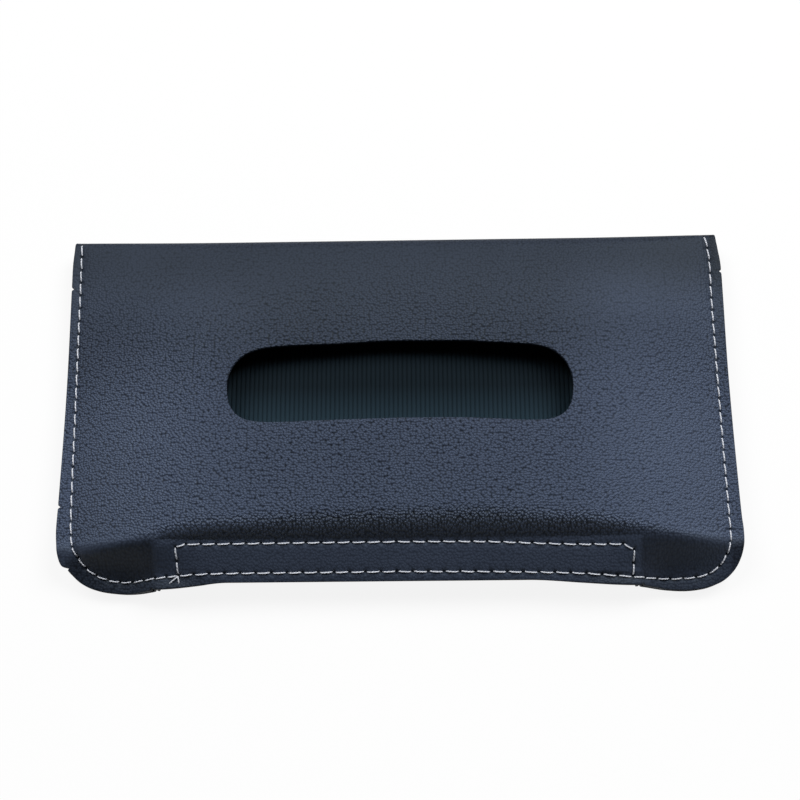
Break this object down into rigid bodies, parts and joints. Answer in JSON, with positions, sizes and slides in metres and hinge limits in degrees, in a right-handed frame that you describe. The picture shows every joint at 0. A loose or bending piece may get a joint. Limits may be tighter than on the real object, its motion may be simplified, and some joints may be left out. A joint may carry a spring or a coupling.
{
  "type": "car tissue holder",
  "caption": "Flat leather pouch for facial tissues with a long slot in its front, a magnet-closed lip along its lower edge and elastic straps on its back for a sun visor.",
  "frame": {"origin": "centre of the box's lower face, on the floor, with the pouch lying on its straps", "axes": "+X to the right along the slot, +Y toward the top fold, +Z out of the front"},
  "size_m": [0.236, 0.132, 0.0245],
  "materials": {
    "leather": "grained synthetic leather, slate blue-black",
    "thread": "waxed polyester thread, white",
    "strap_thread": "polyester thread, dark",
    "lining": "ribbed woven lining",
    "facing": "plain woven lining",
    "board": "stiffener board",
    "magnet": "nickel-plated flat magnet",
    "elastic": "woven elastic webbing"
  },
  "bodies": {
    "pouch": {"outer_cover": "leather", "back_panel": "leather", "left_seam_thread": "thread", "right_seam_thread": "thread", "back_thread": "thread", "top_hem_thread": "thread", "left_strap_thread": "strap_thread", "right_strap_thread": "strap_thread", "back_lining": "lining", "back_stiffener": "board", "back_magnets": "magnet", "left_strap_top_end": "elastic", "left_strap_bottom_end": "elastic", "right_strap_top_end": "elastic", "right_strap_bottom_end": "elastic"},
    "front_lip": {"front_lip": "leather", "lip_facing": "facing", "lip_magnets": "magnet", "lip_thread": "thread"},
    "left_strap": {"left_strap_band": "elastic"},
    "right_strap": {"right_strap_band": "elastic"}
  },
  "joints": [
    {"name": "lip_hinge", "type": "hinge", "parent": "pouch", "child": "front_lip", "pos_m": [0, -0.05022, 0.01974], "axis": [-1, 0, 0], "range_deg": [0, 60], "stiffness_Nm_per_rad": 0.01},
    {"name": "left_strap_stretch", "type": "slide", "parent": "pouch", "child": "left_strap", "axis": [0, 0, -1], "range_m": [0, 0.02], "stiffness_N_per_m": 150},
    {"name": "right_strap_stretch", "type": "slide", "parent": "pouch", "child": "right_strap", "axis": [0, 0, -1], "range_m": [0, 0.02], "stiffness_N_per_m": 150}
  ]
}
